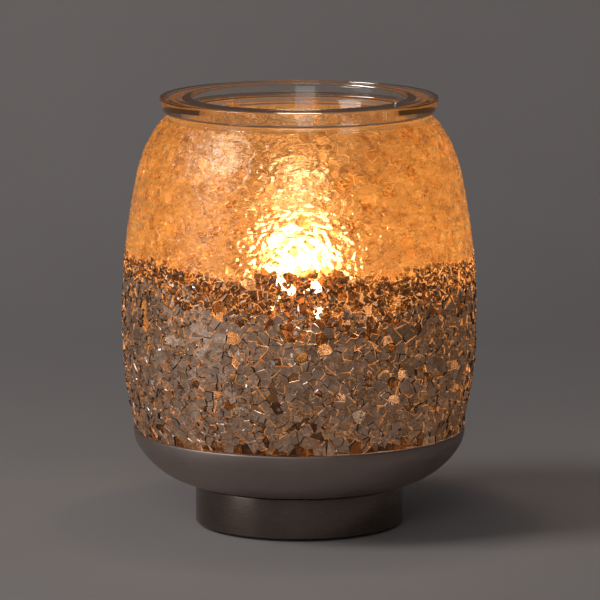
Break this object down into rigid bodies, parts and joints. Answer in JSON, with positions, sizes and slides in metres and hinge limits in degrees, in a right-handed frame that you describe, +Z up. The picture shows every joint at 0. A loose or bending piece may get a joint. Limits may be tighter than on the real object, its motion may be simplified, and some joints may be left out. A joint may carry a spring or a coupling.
{
  "type": "electric wax warmer",
  "caption": "Lit electric wax warmer: crackle-glass barrel shade, clear above and mirrored below, with a lift-off glass dish over a small screw lamp and a spun metal base.",
  "frame": {"origin": "centre of the base, at the surface the warmer stands on", "axes": "+Z up along the axis of the shade, -Y towards the front, +Y towards the cord inlet at the rear"},
  "size_m": [0.1272, 0.1272, 0.1535],
  "materials": {
    "clear_glass": "clear pressed glass, polished",
    "shade_glass": "clear blown glass",
    "clear_chips": "crushed clear glass chips, crackled",
    "mirror_chips": "silvered crushed glass chips, crackled",
    "pewter_metal": "satin dark pewter plate, fine turned grain",
    "zinc_steel": "zinc plated",
    "brass": "bright brass",
    "black_plastic": "black moulded phenolic",
    "white_ceramic": "white steatite",
    "clear_silicone": "translucent silicone",
    "black_rubber": "black rubber",
    "lead_brown": "brown wire insulation",
    "lead_blue": "blue wire insulation",
    "splice_grey": "grey nylon",
    "bulb_glass": "clear lamp glass",
    "lamp_insulator": "black lamp insulator",
    "filament": "glowing tungsten coil",
    "support_wire": "bare nickel wire"
  },
  "bodies": {
    "warmer": {"shade_glass": "shade_glass", "chip_coat_clear": "clear_chips", "chip_coat_mirror": "mirror_chips", "shade_bead": "clear_silicone", "base_cup": "pewter_metal", "foot_can": "pewter_metal", "cord_grommet": "black_rubber", "bottom_cover": "zinc_steel", "cover_standoffs": "zinc_steel", "cover_screws": "zinc_steel", "rubber_feet": "black_rubber", "threaded_nipple": "zinc_steel", "upper_nut": "zinc_steel", "lower_nut": "zinc_steel", "lock_washer": "zinc_steel", "holder_cap": "black_plastic", "holder_sleeve": "black_plastic", "holder_insert": "white_ceramic", "terminal_screws": "brass", "centre_contact": "brass", "side_contact": "brass", "live_lead": "lead_brown", "neutral_lead": "lead_blue", "splice_caps": "splice_grey"},
    "dish": {"wax_dish": "clear_glass"},
    "lamp_seat": {"bulb_tip_contact": "brass"},
    "lamp": {"bulb_cap": "brass", "bulb_insulator": "lamp_insulator", "bulb_glass": "bulb_glass", "bulb_mount": "bulb_glass", "bulb_filament": "filament", "bulb_supports": "support_wire"}
  },
  "joints": [
    {"name": "dish_lift", "type": "slide", "parent": "warmer", "child": "dish", "axis": [0, 0, 1], "range_m": [0, 0.06]},
    {"name": "lamp_travel", "type": "slide", "parent": "warmer", "child": "lamp_seat", "axis": [0, 0, 1], "range_m": [0, 0.01128]},
    {"name": "lamp_turn", "type": "hinge", "parent": "lamp_seat", "child": "lamp", "pos_m": [0, 0, 0.0444], "axis": [0, 0, 1], "range_deg": [0, 1440]}
  ],
  "couplings": [
    {"joint": "lamp_turn", "follows": "lamp_travel", "rad_per_m": 2228.1}
  ]
}
